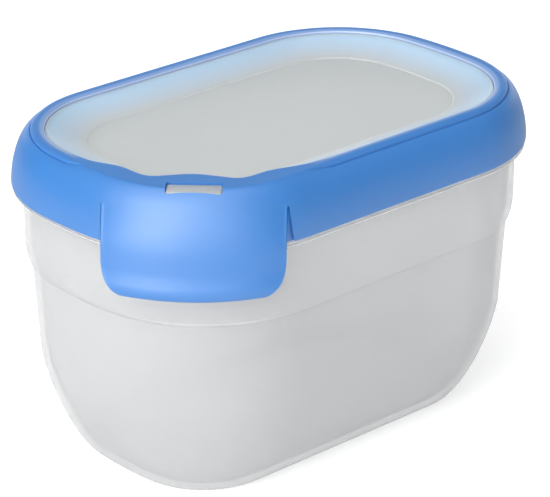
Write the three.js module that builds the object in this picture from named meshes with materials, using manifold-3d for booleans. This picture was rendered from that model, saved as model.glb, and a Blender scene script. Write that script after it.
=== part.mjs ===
// Rectangular food container with a press-on lid, millimetres, +Z up.
// The box stands on z = 0 with its long side along X, and the origin is at the middle of its base.
// Four pieces: a translucent box, a dished translucent lid panel, the coloured lid ring round it,
// and the sprung closing flap at the corner towards -X and -Y.
import * as THREE from "three";
import { mergeVertices } from "three/addons/utils/BufferGeometryUtils.js";
import Module from "manifold-3d";

const wasm = await Module();
wasm.setup();

// Outlines seen from above: half length, half width, corner radius.
// The long sides are straight, the short ends bow out with a large radius.
const RING_OUTSIDE = { a: 84.0, b: 55.3, r: 48.3 };
const RING_INSIDE = { a: 71.84, b: 43.62, r: 32.33 };
const PANEL_FLOOR = { a: 59.15, b: 31.8, r: 21.6 };
const BAND = { a: 79.8, b: 52.4, r: 44.2 };
const FLANGE = { a: 82.9, b: 54.7, r: 46.2 };
const WALL_TOP = { a: 77.5, b: 50.2, r: 41.1 };
const RING_END_RADIUS = 160;
const BAND_END_RADIUS = 140;
const BODY_END_RADIUS = 125;
const FLOOR_END_RADIUS = 120;

// Heights above the table.
const FILLET_HEIGHT = 34;
const WALL_HEIGHT = 62.7;
const BAND_FROM = 70.6;
const FLANGE_FROM = 86.3;
const FLANGE_TO = 87.8;
const RIM_TOP = 96.6;
const SKIRT_FROM = 88.1;
const LIP_INNER = 104.1;
const LIP_CREST = 104.9;
const PANEL_FLOOR_TOP = 99.5;
const PANEL_LIP = 103.6;

// Box wall
const WALL = 1.8;
const BASE_THICKNESS = 2.0;
const WALL_TAPER = 0.044;
const FILLET_LENGTHWISE = 14.8;
const FILLET_CROSSWISE = 16.4;
const FILLET_POWER = 1.55;
const BASE_CORNER = 21.4;

// Lid ring
const RING_SPAN = RING_OUTSIDE.a - RING_INSIDE.a;
const LEDGE_AT = 5.0;
const LEDGE_TOP = 103.7;
const DOME_POWER = 1.8;

// Closing flap, measured from the centre of the corner: u along the corner, v outwards.
const FLAP_LEFT = -26.1;
const FLAP_RIGHT = 27.1;
const FLAP_BOTTOM = 74.5;
const FLAP_CORNER = 10;
const HINGE_V = 44.9;
const HINGE_Z = 101.6;
const HINGE_SLOPE = 0.41;
const NOTCH_LEFT = -26.4;
const NOTCH_RIGHT_TOP = 27.6;
const NOTCH_RIGHT_BOTTOM = 29.2;
const SLOT = { halfLength: 8.2, from: 34.9, to: 40.7 };
const GAP = 0.3;

const CORNER_X = RING_OUTSIDE.r - RING_OUTSIDE.a;
const CORNER_Y = RING_OUTSIDE.r - RING_OUTSIDE.b;
const OUT = new THREE.Vector2(-1, -1).normalize();
const ALONG = new THREE.Vector2(1, -1).normalize();

// Steps along each arc of an outline. The corner with the flap has the finest.
const END_STEPS = 6;
const CORNER_STEPS = 14;
const FLAP_CORNER_STEPS = 26;

// One closed outline, counter-clockwise from the +X end, always with the same number of points.
function outline({ a, b, r }, endRadius) {
  const ex = a - endRadius;
  const cy = b - r;
  const cx = ex + Math.sqrt((endRadius - r) ** 2 - cy ** 2);
  const turn = Math.atan2(cy, cx - ex);
  const quarter = Math.PI / 2;
  const pieces = [
    [new THREE.ArcCurve(ex, 0, endRadius, -turn, turn), END_STEPS],
    [new THREE.ArcCurve(cx, cy, r, turn, quarter), CORNER_STEPS],
    [new THREE.LineCurve(new THREE.Vector2(cx, b), new THREE.Vector2(-cx, b)), 1],
    [new THREE.ArcCurve(-cx, cy, r, quarter, Math.PI - turn), CORNER_STEPS],
    [new THREE.ArcCurve(-ex, 0, endRadius, Math.PI - turn, Math.PI + turn), END_STEPS],
    [new THREE.ArcCurve(-cx, -cy, r, Math.PI + turn, 3 * quarter), FLAP_CORNER_STEPS],
    [new THREE.LineCurve(new THREE.Vector2(-cx, -b), new THREE.Vector2(cx, -b)), 1],
    [new THREE.ArcCurve(cx, -cy, r, 3 * quarter, 4 * quarter - turn), CORNER_STEPS],
  ];
  return pieces.flatMap(([curve, steps]) => curve.getPoints(steps).slice(0, steps));
}

const mix = (p, q, t) => p + (q - p) * t;
const blend = (p, q, t) => ({ a: mix(p.a, q.a, t), b: mix(p.b, q.b, t), r: mix(p.r, q.r, t) });
const grow = (p, by) => ({ a: p.a + by, b: p.b + by, r: p.r + by });
const ringAt = (offset) => blend(RING_INSIDE, RING_OUTSIDE, offset / RING_SPAN);
const smooth = (t) => {
  const s = Math.min(Math.max(t, 0), 1);
  return s * s * (3 - 2 * s);
};
const hump = (distance, half) =>
  distance < half ? (1 + Math.cos((Math.PI * distance) / half)) / 2 : 0;

// Place of a point in the flap's own directions.
function atCorner(p) {
  const x = p.x - CORNER_X;
  const y = p.y - CORNER_Y;
  return { u: x * ALONG.x + y * ALONG.y, v: x * OUT.x + y * OUT.y };
}

// How far the inner edge of the lid ring steps inwards at the flap: the corner is cut straighter,
// with a shallow wave and a broad tongue round the slot.
function tongue(u) {
  const flat = 5.2 * smooth((34 - Math.abs(u)) / 14);
  const middle = 3.6 * hump(Math.abs(u), 13);
  const dip = 1.5 * hump(Math.abs(Math.abs(u) - 14.5), 7);
  return flat + middle - dip;
}

// One row of a lofted wall: an outline at a height. share is how much of the tongue it follows.
function row(plan, endRadius, z, share = 0) {
  return outline(plan, endRadius).map((p) => {
    const { u, v } = atCorner(p);
    const step = share && v > 0 ? share * tongue(u) : 0;
    const height = typeof z === "function" ? z(u, v) : z;
    return new THREE.Vector3(p.x - OUT.x * step, p.y - OUT.y * step, height);
  });
}

// A closed body through rows of points: each row joins the next. With closed set the last row
// joins the first, otherwise the first row is capped as a base and the last as a floor facing up.
function loft(rows, closed) {
  const n = rows[0].length;
  const points = rows.flat();
  const faces = [];
  const last = closed ? rows.length : rows.length - 1;
  for (let i = 0; i < last; i++) {
    const p = i * n;
    const q = ((i + 1) % rows.length) * n;
    for (let j = 0; j < n; j++) {
      const k = (j + 1) % n;
      faces.push(p + j, p + k, q + k, p + j, q + k, q + j);
    }
  }
  if (!closed) {
    for (const [start, up] of [[0, false], [(rows.length - 1) * n, true]]) {
      points.push(new THREE.Vector3(0, 0, rows[start / n][0].z));
      const centre = points.length - 1;
      for (let j = 0; j < n; j++) {
        const k = (j + 1) % n;
        faces.push(centre, start + (up ? j : k), start + (up ? k : j));
      }
    }
  }
  const geometry = new THREE.BufferGeometry().setFromPoints(points);
  geometry.setIndex(faces);
  return geometry;
}

// Boolean work
function solid(geometry) {
  const bare = geometry.clone();
  bare.deleteAttribute("normal");
  bare.deleteAttribute("uv");
  const merged = mergeVertices(bare, 1e-4);
  return new wasm.Manifold(
    new wasm.Mesh({
      numProp: 3,
      vertProperties: new Float32Array(merged.attributes.position.array),
      triVerts: new Uint32Array(merged.index.array),
    }),
  );
}

function geometryOf(body) {
  const mesh = body.getMesh();
  const geometry = new THREE.BufferGeometry();
  geometry.setAttribute("position", new THREE.BufferAttribute(mesh.vertProperties, mesh.numProp));
  geometry.setIndex(new THREE.BufferAttribute(mesh.triVerts, 1));
  return geometry;
}

// A prism whose section lies in the flap's u and z directions and which runs outwards along v.
function prismOutwards(shape, from, to) {
  const geometry = new THREE.ExtrudeGeometry(shape, {
    depth: to - from,
    bevelEnabled: false,
    curveSegments: 10,
  });
  const basis = new THREE.Matrix4().makeBasis(
    new THREE.Vector3(ALONG.x, ALONG.y, 0),
    new THREE.Vector3(0, 0, 1),
    new THREE.Vector3(OUT.x, OUT.y, 0),
  );
  basis.setPosition(CORNER_X + OUT.x * from, CORNER_Y + OUT.y * from, 0);
  return geometry.applyMatrix4(basis);
}

// A prism whose section lies in v and z and which runs along the corner, from -half to half.
function prismAlong(shape, half) {
  const geometry = new THREE.ExtrudeGeometry(shape, { depth: 2 * half, bevelEnabled: false });
  const basis = new THREE.Matrix4().makeBasis(
    new THREE.Vector3(OUT.x, OUT.y, 0),
    new THREE.Vector3(0, 0, 1),
    new THREE.Vector3(-ALONG.x, -ALONG.y, 0),
  );
  basis.setPosition(CORNER_X + ALONG.x * half, CORNER_Y + ALONG.y * half, 0);
  return geometry.applyMatrix4(basis);
}

function polygon(points) {
  return new THREE.Shape(points.map(([x, y]) => new THREE.Vector2(x, y)));
}

// The translucent box: a tapered oval tub with a deep round to its base, a step out to a band,
// a thin flange and a plain rim that the lid stands on.
function filletShare(angle) {
  return {
    height: 1 - Math.cos(angle) ** (2 / FILLET_POWER),
    inset: 1 - Math.sin(angle) ** (2 / FILLET_POWER),
  };
}

function wallPlan(z, share) {
  const taper = WALL_TAPER * (WALL_HEIGHT - z);
  return {
    a: WALL_TOP.a - taper - FILLET_LENGTHWISE * share,
    b: WALL_TOP.b - taper - FILLET_CROSSWISE * share,
    r: mix(WALL_TOP.r, BASE_CORNER, share ** 1.27),
  };
}

function boxRows() {
  const rows = [];
  const add = (plan, z) => rows.push(row(plan, z > WALL_HEIGHT ? BAND_END_RADIUS : BODY_END_RADIUS, z));
  const rim = (plan, z) => rows.push(row(plan, RING_END_RADIUS, z));
  const filletSteps = 9;
  for (let i = 0; i <= filletSteps; i++) {
    const { height, inset } = filletShare((i / filletSteps) * (Math.PI / 2));
    add(wallPlan(height * FILLET_HEIGHT, inset), height * FILLET_HEIGHT);
  }
  add(WALL_TOP, WALL_HEIGHT);
  const stepSteps = 4;
  for (let i = 1; i <= stepSteps; i++) {
    const angle = (i / stepSteps) * (Math.PI / 2);
    const z = mix(WALL_HEIGHT, BAND_FROM, 1 - Math.cos(angle));
    add(blend(WALL_TOP, BAND, Math.sin(angle)), z);
  }
  add(BAND, FLANGE_FROM - 0.5);
  add(grow(BAND, 0.5), FLANGE_FROM);
  rim(FLANGE, FLANGE_FROM + 0.2);
  rim(FLANGE, FLANGE_TO);
  rim(grow(BAND, -1.3), FLANGE_TO);
  rim(grow(BAND, -1.3), RIM_TOP);
  rim(grow(BAND, -1.3 - WALL), RIM_TOP);
  rim(grow(BAND, -1.3 - WALL), FLANGE_TO);
  add(grow(BAND, -WALL), FLANGE_TO - 1.5);
  add(grow(BAND, -WALL), BAND_FROM + 1);
  add(grow(blend(WALL_TOP, BAND, 0.6), -WALL), mix(WALL_HEIGHT, BAND_FROM, 0.42));
  add(grow(WALL_TOP, -WALL), WALL_HEIGHT - 0.6);
  const innerSteps = 6;
  for (let i = innerSteps; i >= 0; i--) {
    const { height, inset } = filletShare((i / innerSteps) * (Math.PI / 2));
    const z = mix(BASE_THICKNESS, FILLET_HEIGHT, height);
    add(grow(wallPlan(z, inset * 0.94), -WALL), z);
  }
  return rows;
}

// The lid panel: a shallow dish whose wall follows the ring's inner edge, then runs on under the
// ring and down to stand on the rim of the box.
function panelRows() {
  const rows = [];
  const add = (plan, z, share = 0) => rows.push(row(plan, RING_END_RADIUS, z, share));
  const floor = (by, z) => rows.push(row(grow(PANEL_FLOOR, by), FLOOR_END_RADIUS, z));
  floor(-0.6, PANEL_FLOOR_TOP - 1.5);
  add(ringAt(-1.7), 101.1, 1);
  add(ringAt(2.0), 100.5);
  add(ringAt(4.6), RIM_TOP + GAP);
  add(ringAt(6.2), RIM_TOP + GAP);
  add(ringAt(6.2), 97.8);
  add(ringAt(4.6), 100.7);
  add(ringAt(3.0), 102.1);
  add(ringAt(-0.35), 102.1, 1);
  add(ringAt(-0.35), PANEL_LIP, 1);
  add(ringAt(-0.9), PANEL_LIP, 1);
  floor(1.2, PANEL_FLOOR_TOP + 0.25);
  floor(0, PANEL_FLOOR_TOP);
  return rows;
}

// The lid ring: a crowned lip with a small ledge, a domed shoulder and a flared skirt.
// The ledge fades out beside the flap.
function ringRows() {
  const rows = [];
  const add = (offset, z, share = 0) =>
    rows.push(row(ringAt(offset), RING_END_RADIUS, z, share));
  const dome = (from, top, angle) => [
    from + (RING_SPAN - from) * Math.sin(angle) ** (2 / DOME_POWER),
    SKIRT_FROM + (top - SKIRT_FROM) * Math.cos(angle) ** (2 / DOME_POWER),
  ];
  const fade = (z, smoothZ) => (u, v) => (v > 0 ? mix(smoothZ, z, smooth((Math.abs(u) - 33) / 6)) : z);
  add(10.3, SKIRT_FROM);
  const steps = 6;
  for (let i = steps; i >= 1; i--) {
    const [offset, z] = dome(LEDGE_AT, LEDGE_TOP, (i / steps) * (Math.PI / 2));
    add(offset, z);
  }
  add(LEDGE_AT + 0.1, fade(LEDGE_TOP, 104.2));
  add(LEDGE_AT - 0.4, fade(LIP_CREST - 0.3, 104.45));
  add(3.4, LIP_CREST);
  add(1.6, LIP_CREST - 0.1, 0.6);
  add(0.4, LIP_INNER + 0.35, 1);
  add(0, LIP_INNER, 1);
  add(0, 102.4, 1);
  add(4.2, 102.4);
  for (let i = 1; i < 4; i++) {
    const angle = (i / 4) * (Math.PI / 2);
    const offset = 4.2 + 6.1 * Math.sin(angle) ** (2 / DOME_POWER);
    add(offset, SKIRT_FROM + 14.3 * Math.cos(angle) ** (2 / DOME_POWER));
  }
  return rows;
}

// Below this sloping plane, which meets the hinge line, the corner belongs to the flap.
const planeZ = (v, drop) => HINGE_Z - (HINGE_V - v) * HINGE_SLOPE - drop;

function belowHinge(drop, half) {
  const near = 25;
  const far = 62;
  return solid(
    prismAlong(
      polygon([
        [near, planeZ(near, drop)],
        [near, 60],
        [far, 60],
        [far, planeZ(far, drop)],
      ]),
      half,
    ),
  );
}

function lidRing() {
  const whole = solid(loft(ringRows(), true));
  const notch = solid(
    prismOutwards(
      polygon([
        [NOTCH_LEFT, 80],
        [NOTCH_RIGHT_BOTTOM + 1, 80],
        [NOTCH_RIGHT_BOTTOM, SKIRT_FROM],
        [NOTCH_RIGHT_TOP, 98.5],
        [NOTCH_RIGHT_TOP, 110],
        [NOTCH_LEFT, 110],
      ]),
      25,
      62,
    ),
  ).intersect(belowHinge(0, 32));
  const slot = solid(
    prismOutwards(
      polygon([
        [-SLOT.halfLength, 101],
        [SLOT.halfLength, 101],
        [SLOT.halfLength, 107],
        [-SLOT.halfLength, 107],
      ]),
      SLOT.from,
      SLOT.to,
    ),
  );
  return geometryOf(whole.subtract(notch).subtract(slot));
}

// The flap: a curved tongue that goes on from the shoulder of the ring, stands proud of the skirt
// and ends in a rolled finger edge.
function cornerFlap() {
  const outside = [
    [HINGE_V - 1.2, HINGE_Z + 0.9],
    [HINGE_V, HINGE_Z],
    [46.5, 98.5],
    [48.5, 95],
    [49.8, 91.5],
    [50.8, 88],
    [51.5, 84],
    [51.8, 81.6],
    [52.5, 79.6],
    [53.1, 77.8],
    [53.2, 76.2],
    [52.8, 75],
    [52, FLAP_BOTTOM],
  ];
  const inside = [
    [51.0, FLAP_BOTTOM],
    [50.6, 76.4],
    [49.9, 81],
    [49.4, 85],
    [48.8, 88.4],
    [47.8, 91.8],
    [46.4, 95],
    [44.4, 98],
    [42.6, 99.8],
  ];
  const profile = [...outside, ...inside].reverse().map(([x, y]) => new THREE.Vector2(x, y));
  profile.push(profile[0].clone());
  const spun = new THREE.LatheGeometry(profile, 120);
  spun.rotateX(Math.PI / 2);
  spun.translate(CORNER_X, CORNER_Y, 0);
  const under = FLAP_BOTTOM - 0.3;
  const face = new THREE.Shape();
  face.moveTo(FLAP_LEFT, 106);
  face.lineTo(FLAP_LEFT, under + FLAP_CORNER);
  face.quadraticCurveTo(FLAP_LEFT, under, FLAP_LEFT + FLAP_CORNER, under);
  face.lineTo(FLAP_RIGHT - FLAP_CORNER, under);
  face.quadraticCurveTo(FLAP_RIGHT, under, FLAP_RIGHT, under + FLAP_CORNER);
  face.lineTo(FLAP_RIGHT, 106);
  const body = solid(spun)
    .intersect(solid(prismOutwards(face, 20, 60)))
    .intersect(belowHinge(GAP, 40));
  return geometryOf(body);
}

const translucent = new THREE.MeshStandardMaterial({
  name: "milky polypropylene",
  color: 0xdde1e3,
  roughness: 0.35,
  metalness: 0,
  transparent: true,
  opacity: 0.7,
});
const coloured = new THREE.MeshStandardMaterial({
  name: "blue lid plastic",
  color: 0x4c8fe0,
  roughness: 0.55,
  metalness: 0,
});

const container = new THREE.Group();
for (const [name, geometry, material] of [
  ["container_body", loft(boxRows(), false), translucent],
  ["lid_panel", loft(panelRows(), false), translucent.clone()],
  ["lid_ring", lidRing(), coloured],
  ["corner_clip", cornerFlap(), coloured.clone()],
]) {
  geometry.computeVertexNormals();
  const mesh = new THREE.Mesh(geometry, material);
  mesh.name = name;
  container.add(mesh);
}

export default container;
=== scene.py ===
"""Tall oblong food container: milky box, dished lid panel, soft blue lid ring and closing flap."""
import math
from functools import lru_cache

import bmesh
import bpy
from bpy.props import FloatProperty, FloatVectorProperty, IntProperty, PointerProperty
from bpy.types import Operator, Panel, PropertyGroup
from mathutils import Matrix, Vector


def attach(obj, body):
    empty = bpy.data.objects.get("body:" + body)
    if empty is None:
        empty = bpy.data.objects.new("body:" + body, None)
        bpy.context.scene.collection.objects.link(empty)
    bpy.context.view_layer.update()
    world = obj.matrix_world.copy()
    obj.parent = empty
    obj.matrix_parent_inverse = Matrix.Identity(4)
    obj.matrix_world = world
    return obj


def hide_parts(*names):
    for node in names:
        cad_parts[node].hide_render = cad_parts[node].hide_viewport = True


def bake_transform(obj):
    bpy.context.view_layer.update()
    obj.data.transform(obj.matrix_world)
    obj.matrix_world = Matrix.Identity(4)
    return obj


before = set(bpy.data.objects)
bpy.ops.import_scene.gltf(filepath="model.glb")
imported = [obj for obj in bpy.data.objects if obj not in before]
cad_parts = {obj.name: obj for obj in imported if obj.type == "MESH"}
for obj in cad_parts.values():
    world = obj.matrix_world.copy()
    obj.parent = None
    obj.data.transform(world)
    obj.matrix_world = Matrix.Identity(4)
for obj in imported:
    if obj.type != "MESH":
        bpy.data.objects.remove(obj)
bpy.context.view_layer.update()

bl_info = {
    "name": "Oblong food container",
    "version": (1, 0, 0),
    "blender": (4, 5, 0),
    "location": "3D View > Sidebar > Container",
    "description": "Builds the milky box, its dished lid, the blue lid ring and the closing flap",
    "category": "Object",
}

MM = 0.001

# Outlines seen from above, in millimetres: half length, half width, corner radius.
RING_OUTSIDE = (84.0, 55.3, 48.3)
RING_INSIDE = (71.84, 43.62, 32.33)
PANEL_FLOOR = (59.15, 31.8, 21.6)
BAND = (79.8, 52.4, 44.2)
FLANGE = (82.9, 54.7, 46.2)
WALL_TOP = (77.5, 50.2, 41.1)
# Radii of the bowed ends.
RING_END, BAND_END, BODY_END, FLOOR_END = 160, 140, 125, 120

# Heights above the table, in millimetres.
FILLET_HEIGHT = 34
WALL_HEIGHT = 62.7
BAND_FROM = 70.6
FLANGE_FROM = 86.3
FLANGE_TO = 87.8
RIM_TOP = 96.6
SKIRT_FROM = 88.1
LIP_INNER = 104.1
LIP_CREST = 104.9
PANEL_FLOOR_TOP = 99.5
PANEL_LIP = 103.95

# Box: its wall, the deep round to its base, the rim and the inside.
WALL = 1.8
BASE = 2.0
TAPER = 0.044
FILLET_LENGTHWISE = 14.8
FILLET_CROSSWISE = 16.4
FILLET_POWER = 1.55
BASE_CORNER = 21.4
BASE_CORNER_POWER = 1.27
RIM_INSET, RIM_BEVEL = 1.3, 0.4
WALL_ROWS, STEP_ROWS, INSIDE_ROWS = 8, 10, 6
INSIDE_ROUND = 0.94
INSIDE_BAND_TOP = FLANGE_TO - 1.5
INSIDE_STEP = (WALL_HEIGHT - 0.6, BAND_FROM + 1)
# Band above the step, up to its round under the flange: how far out it stands and its height.
BAND_EDGE = (
    (0, 74), (0, 78), (0, 82), (0, FLANGE_FROM - 0.5), (0.12, FLANGE_FROM - 0.15),
    (0.5, FLANGE_FROM),
)
# Rounded edge of the flange: how far out it stands, its height and its painted highlight.
FLANGE_EDGE = (
    (-0.4, 86.36, 0.6), (-0.1, 86.42, 1), (0, 86.6, 1), (0, 86.85, 0), (0, 87.45, 0),
    (-0.08, 87.68, 0.8), (-0.3, FLANGE_TO, 0.6),
)
# Painted highlight on the step below the flap: how bright, its middle, half length, fade and rows.
STEP_HIGHLIGHT, STEP_HIGHLIGHT_AT, STEP_HIGHLIGHT_HALF, STEP_HIGHLIGHT_FADE, STEP_HIGHLIGHT_ROWS = 0.4, 6, 12, 16, 3

# Lid panel: distance out from the ring's inner edge, height and share of the tongue, from under
# its wall out to the foot on the rim and back over the lip.
PANEL_EDGE = (
    (-1.7, 101.1, 1), (-1.2, 101.0, 0.85), (2.0, 100.5, 0), (4.6, RIM_TOP + 0.3, 0),
    (6.2, RIM_TOP + 0.3, 0), (6.2, 97.8, 0), (4.6, 100.7, 0), (3.0, 102.1, 0),
    (0.1, 102.1, 1), (-0.1, 102.15, 1), (-0.15, 102.3, 1), (-0.15, PANEL_LIP - 0.25, 1),
    (-0.22, PANEL_LIP - 0.07, 1), (-0.4, PANEL_LIP, 1), (-0.75, PANEL_LIP, 1),
    (-0.95, PANEL_LIP - 0.07, 1),
)
PANEL_WALL_AT, PANEL_WALL_TOP = -1.1, PANEL_LIP - 0.2
PANEL_WALL_ROWS = 12
PANEL_SAG = 0.45
# Painted blue light from the ring, seen through the panel: on its edge, at its wall's top, and how
# it fades down the wall.
PANEL_EDGE_RING_LIGHT, PANEL_WALL_RING_LIGHT, PANEL_RING_LIGHT_POWER = 0.6, 0.75, 0.8
# Floor of the panel: distance out from its outline, and height from its top.
FLOOR_UNDERSIDE = ((-0.6, -1.5), (1.0, -1.4))
FLOOR_ROUND = ((0.7, 0.5), (0.5, 0.46), (0.36, 0.36), (0.22, 0.1), (0.05, 0.02), (-0.2, 0))

# Lid ring: distances out from its inner edge, heights and shares of the dome.
SPAN = RING_OUTSIDE[0] - RING_INSIDE[0]
LEDGE_AT, LEDGE_TOP = 5.0, 103.7
LIP_CREST_AT = 3.4
LIP_ROUND, LIP_POWER = 3.0, 2.2
DOME_POWER = 1.8
DOME_FROM = math.radians(2.5)
INNER_DOME_AT = 4.2
INNER_DOME_TOP = 102.4
INNER_DOME_SPAN = 6.1
OUTER_DOME_ROWS, INNER_DOME_ROWS = 14, 8
SKIRT_SHARE = 0.975
SKIRT_EDGE = ((10.9, 0), (11.7, 0), (12.02, 0.1), (12.14, 0.35))
LEDGE_EDGE = (
    (5.16, 103.55), (5.05, 103.36), (4.95, 103.42), (4.88, 104.15), (4.8, 104.42),
    (4.62, 104.57), (4.3, 104.68), (3.9, 104.8),
)
LIP_EDGE = (3.4, 3.1, 2.8, 2.4, 2.0, 1.6, 1.2, 0.9, 0.6, 0.4, 0.22, 0.1, 0.03, 0.0)
LIP_INSIDE = ((0, 103.4), (0, 102.65), (0.07, 102.47), (0.25, INNER_DOME_TOP))
LIP_UNDERSIDE = (0.9, 1.6, 2.4, 3.2)
# Painted highlight along the lip's edge, and a fainter painted reflection on its crest.
EDGE_HIGHLIGHT_TO = 0.25
CREST_HIGHLIGHT, CREST_HIGHLIGHT_TO, CREST_HIGHLIGHT_FADE = 0.45, 2.5, 1.3

# Closing flap: u runs along the corner, v outwards from the centre of the corner.
CORNER = Vector((RING_OUTSIDE[2] - RING_OUTSIDE[0], RING_OUTSIDE[2] - RING_OUTSIDE[1]))
OUT = Vector((-1, -1)).normalized()
ALONG = Vector((1, -1)).normalized()
FLAP_LEFT, FLAP_RIGHT, FLAP_BOTTOM, FLAP_CORNER = -26.1, 27.1, 74.5, 10
HINGE_V, HINGE_Z, HINGE_SLOPE = 44.9, 101.6, 0.41
NOTCH_LEFT, NOTCH_RIGHT_TOP, NOTCH_RIGHT_BOTTOM, NOTCH_TOP = -26.4, 27.6, 29.2, 98.5
FLAP_OUTSIDE = (
    (44.0, 102.7), (44.8, 101.6), (46.69, 98.5), (48.45, 95), (49.81, 91.5), (50.78, 88),
    (51.45, 84), (51.85, 81.6), (52.4, 79.6), (52.95, 77.8), (53.1, 76.2), (52.8, 75), (52, 74.5),
)
FLAP_INSIDE = (
    (41.4, 101.0), (42.6, 99.8), (44.4, 98), (46.4, 95), (47.8, 91.8), (48.8, 88.4),
    (49.4, 85), (49.9, 81), (50.6, 76.4), (51.0, 74.5),
)
# The flap's rounded edges, its columns and rows, and the rows by its hinge and its lower edge.
EDGE, EDGE_SHARE = 0.35, 0.45
CORNER_DROP = 0.3
FLAP_COLUMNS, FLAP_ROWS = 58, 44
HINGE_ROWS = (0, 0.006, 0.02)
ROLL_FROM, ROLL_ROWS = 39, 12
# How far down the flap takes to leave the line of the ring's shoulder.
SHOULDER_FADE = 10
# Where the ring's ledge gives way to a smooth shoulder, and the shoulder's spread and fall.
NEAR_HALF, NEAR_FADE = 33, 6
SHOULDER_SPREAD, SHOULDER_FALL = 0.14, 0.06
# Columns and rows of the ring round the flap, and the hinge line on its dome.
EVEN_FROM = 9.0
COLUMNS_BEFORE, COLUMNS_AFTER = 10, 8
HINGE_SHARE, HINGE_PAIR = 0.45, 0.006
HINGE_PLAIN, HINGE_LOW, HINGE_HIGH = math.radians(52), math.radians(4), math.radians(86)

# Tongue round the slot: its reach, half width and fade, the bulge in its middle and the dips
# beside it, and its rounded edge.
TONGUE, TONGUE_HALF, TONGUE_FADE = 5.2, 34, 14
BULGE, BULGE_HALF = 3.6, 13
DIP, DIP_AT, DIP_HALF = 1.5, 14.5, 7
TONGUE_SPREAD = 3.0
TONGUE_DROP, TONGUE_ROUND, TONGUE_SLOPE = 0.5, 0.45, 0.02

# Webs of the ring behind the flap's left and right edges.
WEB_DEPTH = {-1: 0.22, 1: 0.9}
WEB_FROM, WEB_TO, WEB_ROWS = SKIRT_FROM + 0.15, 99.2, 14
WEB_GAP, WEB_BEYOND, WEB_CLEAR, WEB_THICKNESS = 0.06, 0.5, 0.3, 0.8
WEB_COLUMNS = (0.02, 1, 2, 3, 4)

# Where the slot's middle lies along the corner.
SLOT_MIDDLE = 0.6
# Block that cuts the slot and milky pad that closes it from below, in metres.
SLOT_LOW, SLOT_HIGH, SLOT_CORNER = 0.101, 0.107, 0.0009
PAD_LOW, PAD_TOP, PAD_GAP, PAD_BEVEL = 0.1, 0.1042, 0.00015, 0.0005

# Stage, in metres: each light with its setting, place, the height it aims at and its size.
LIGHTS = (
    ("Key", "key", (-1.4, -0.3, 0.75), 0.07, (1.1, 1.2)),
    ("Backdrop", "backdrop", (1.2, 1.2, 0.2), 0.05, (2.4, 0.38)),
    ("Front", "front", (-0.8, -1.2, 0.8), 0.05, (1.2, 1.2)),
    ("Overhead", "fill", (-0.45, -0.1, 1.4), 0.05, (1.5, 1.5)),
)
FLOOR_HALF = 4.0
FLOOR_GIVES = 0.1
SKY_SEEN = 1.0
# Camera, with its aim a little off the middle to match the photograph's frame.
CAMERA_AZIMUTH, CAMERA_ELEVATION = math.radians(-42.572), math.radians(23.036)
CAMERA_DISTANCE, CAMERA_HEIGHT = 0.90748, 0.06248
AIM_ASIDE, AIM_BELOW = 0.000482, 0.006435
FOCAL_PIXELS, IMAGE_PIXELS, SENSOR = 2913, 550, 36

# Finish: the sharpest bend that still looks smooth, the height of the grain, how much the tone
# drifts, and how white the painted highlights on the blue plastic get.
SHARP = math.radians(32)
RELIEF = 0.0001
MILKY_SHADE, BLUE_SHADE = 0.96, 0.88
HIGHLIGHT_WHITE, HIGHLIGHT_WHITE_SHARE = 0.9, 0.45


# Plain arithmetic
def mix(p, q, t):
    return p + (q - p) * t


def blend(p, q, t):
    return tuple(mix(a, b, t) for a, b in zip(p, q))


def grow(plan, by):
    return tuple(a + by for a in plan)


def ring_at(offset):
    return blend(RING_INSIDE, RING_OUTSIDE, offset / SPAN)


def smooth(t):
    t = min(max(t, 0.0), 1.0)
    return t * t * (3 - 2 * t)


def hump(distance, half):
    return (1 + math.cos(math.pi * distance / half)) / 2 if distance < half else 0.0


def bisect(error, low, high):
    """The value between low and high where error changes from above to below nothing."""
    for _ in range(40):
        middle = (low + high) / 2
        if error(middle) > 0:
            low = middle
        else:
            high = middle
    return (low + high) / 2


def through(points, t):
    """A smooth curve through points, from the first at 0 to the last at 1."""
    place = min(max(t, 0.0), 1.0) * (len(points) - 1)
    i = min(int(place), len(points) - 2)
    s = place - i
    p = [points[min(max(i + k, 0), len(points) - 1)] for k in (-1, 0, 1, 2)]
    weights = (
        (-s + 2 * s * s - s**3) / 2,
        (2 - 5 * s * s + 3 * s**3) / 2,
        (s + 4 * s * s - 3 * s**3) / 2,
        (-s * s + s**3) / 2,
    )
    return tuple(sum(w * q[axis] for w, q in zip(weights, p)) for axis in (0, 1))


# Outlines
def corner_centre(plan, end):
    a, b, r = plan
    cy = b - r
    reach = math.sqrt((end - r) ** 2 - cy**2)
    return a - end + reach, cy, math.atan2(cy, reach)


def on_outline(plan, end, part, t):
    """A point of an outline, whose arcs and straights are numbered from the +X end."""
    a, b, r = plan
    cx, cy, turn = corner_centre(plan, end)
    quarter = math.pi / 2
    if part in (2, 6):
        side = 1 if part == 2 else -1
        return Vector((side * cx * (1 - 2 * t), side * b))
    x, y, radius, first, last = {
        0: (a - end, 0, end, -turn, turn),
        1: (cx, cy, r, turn, quarter),
        3: (-cx, cy, r, quarter, math.pi - turn),
        4: (end - a, 0, end, math.pi - turn, math.pi + turn),
        5: (-cx, -cy, r, math.pi + turn, 3 * quarter),
        7: (cx, -cy, r, 3 * quarter, 4 * quarter - turn),
    }[part]
    angle = mix(first, last, t)
    return Vector((x + radius * math.cos(angle), y + radius * math.sin(angle)))


PART_STEPS = {0: 18, 1: 30, 2: 14, 3: 30, 4: 18, 5: 60, 6: 14, 7: 30}
PLAIN_COLUMNS = [(part, i / n) for part, n in PART_STEPS.items() for i in range(n)]


def at_corner(p):
    q = p.xy - CORNER
    return q.dot(ALONG), q.dot(OUT)


def from_corner(u, v, z):
    p = CORNER + ALONG * u + OUT * v
    return Vector((p.x, p.y, z))


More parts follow.
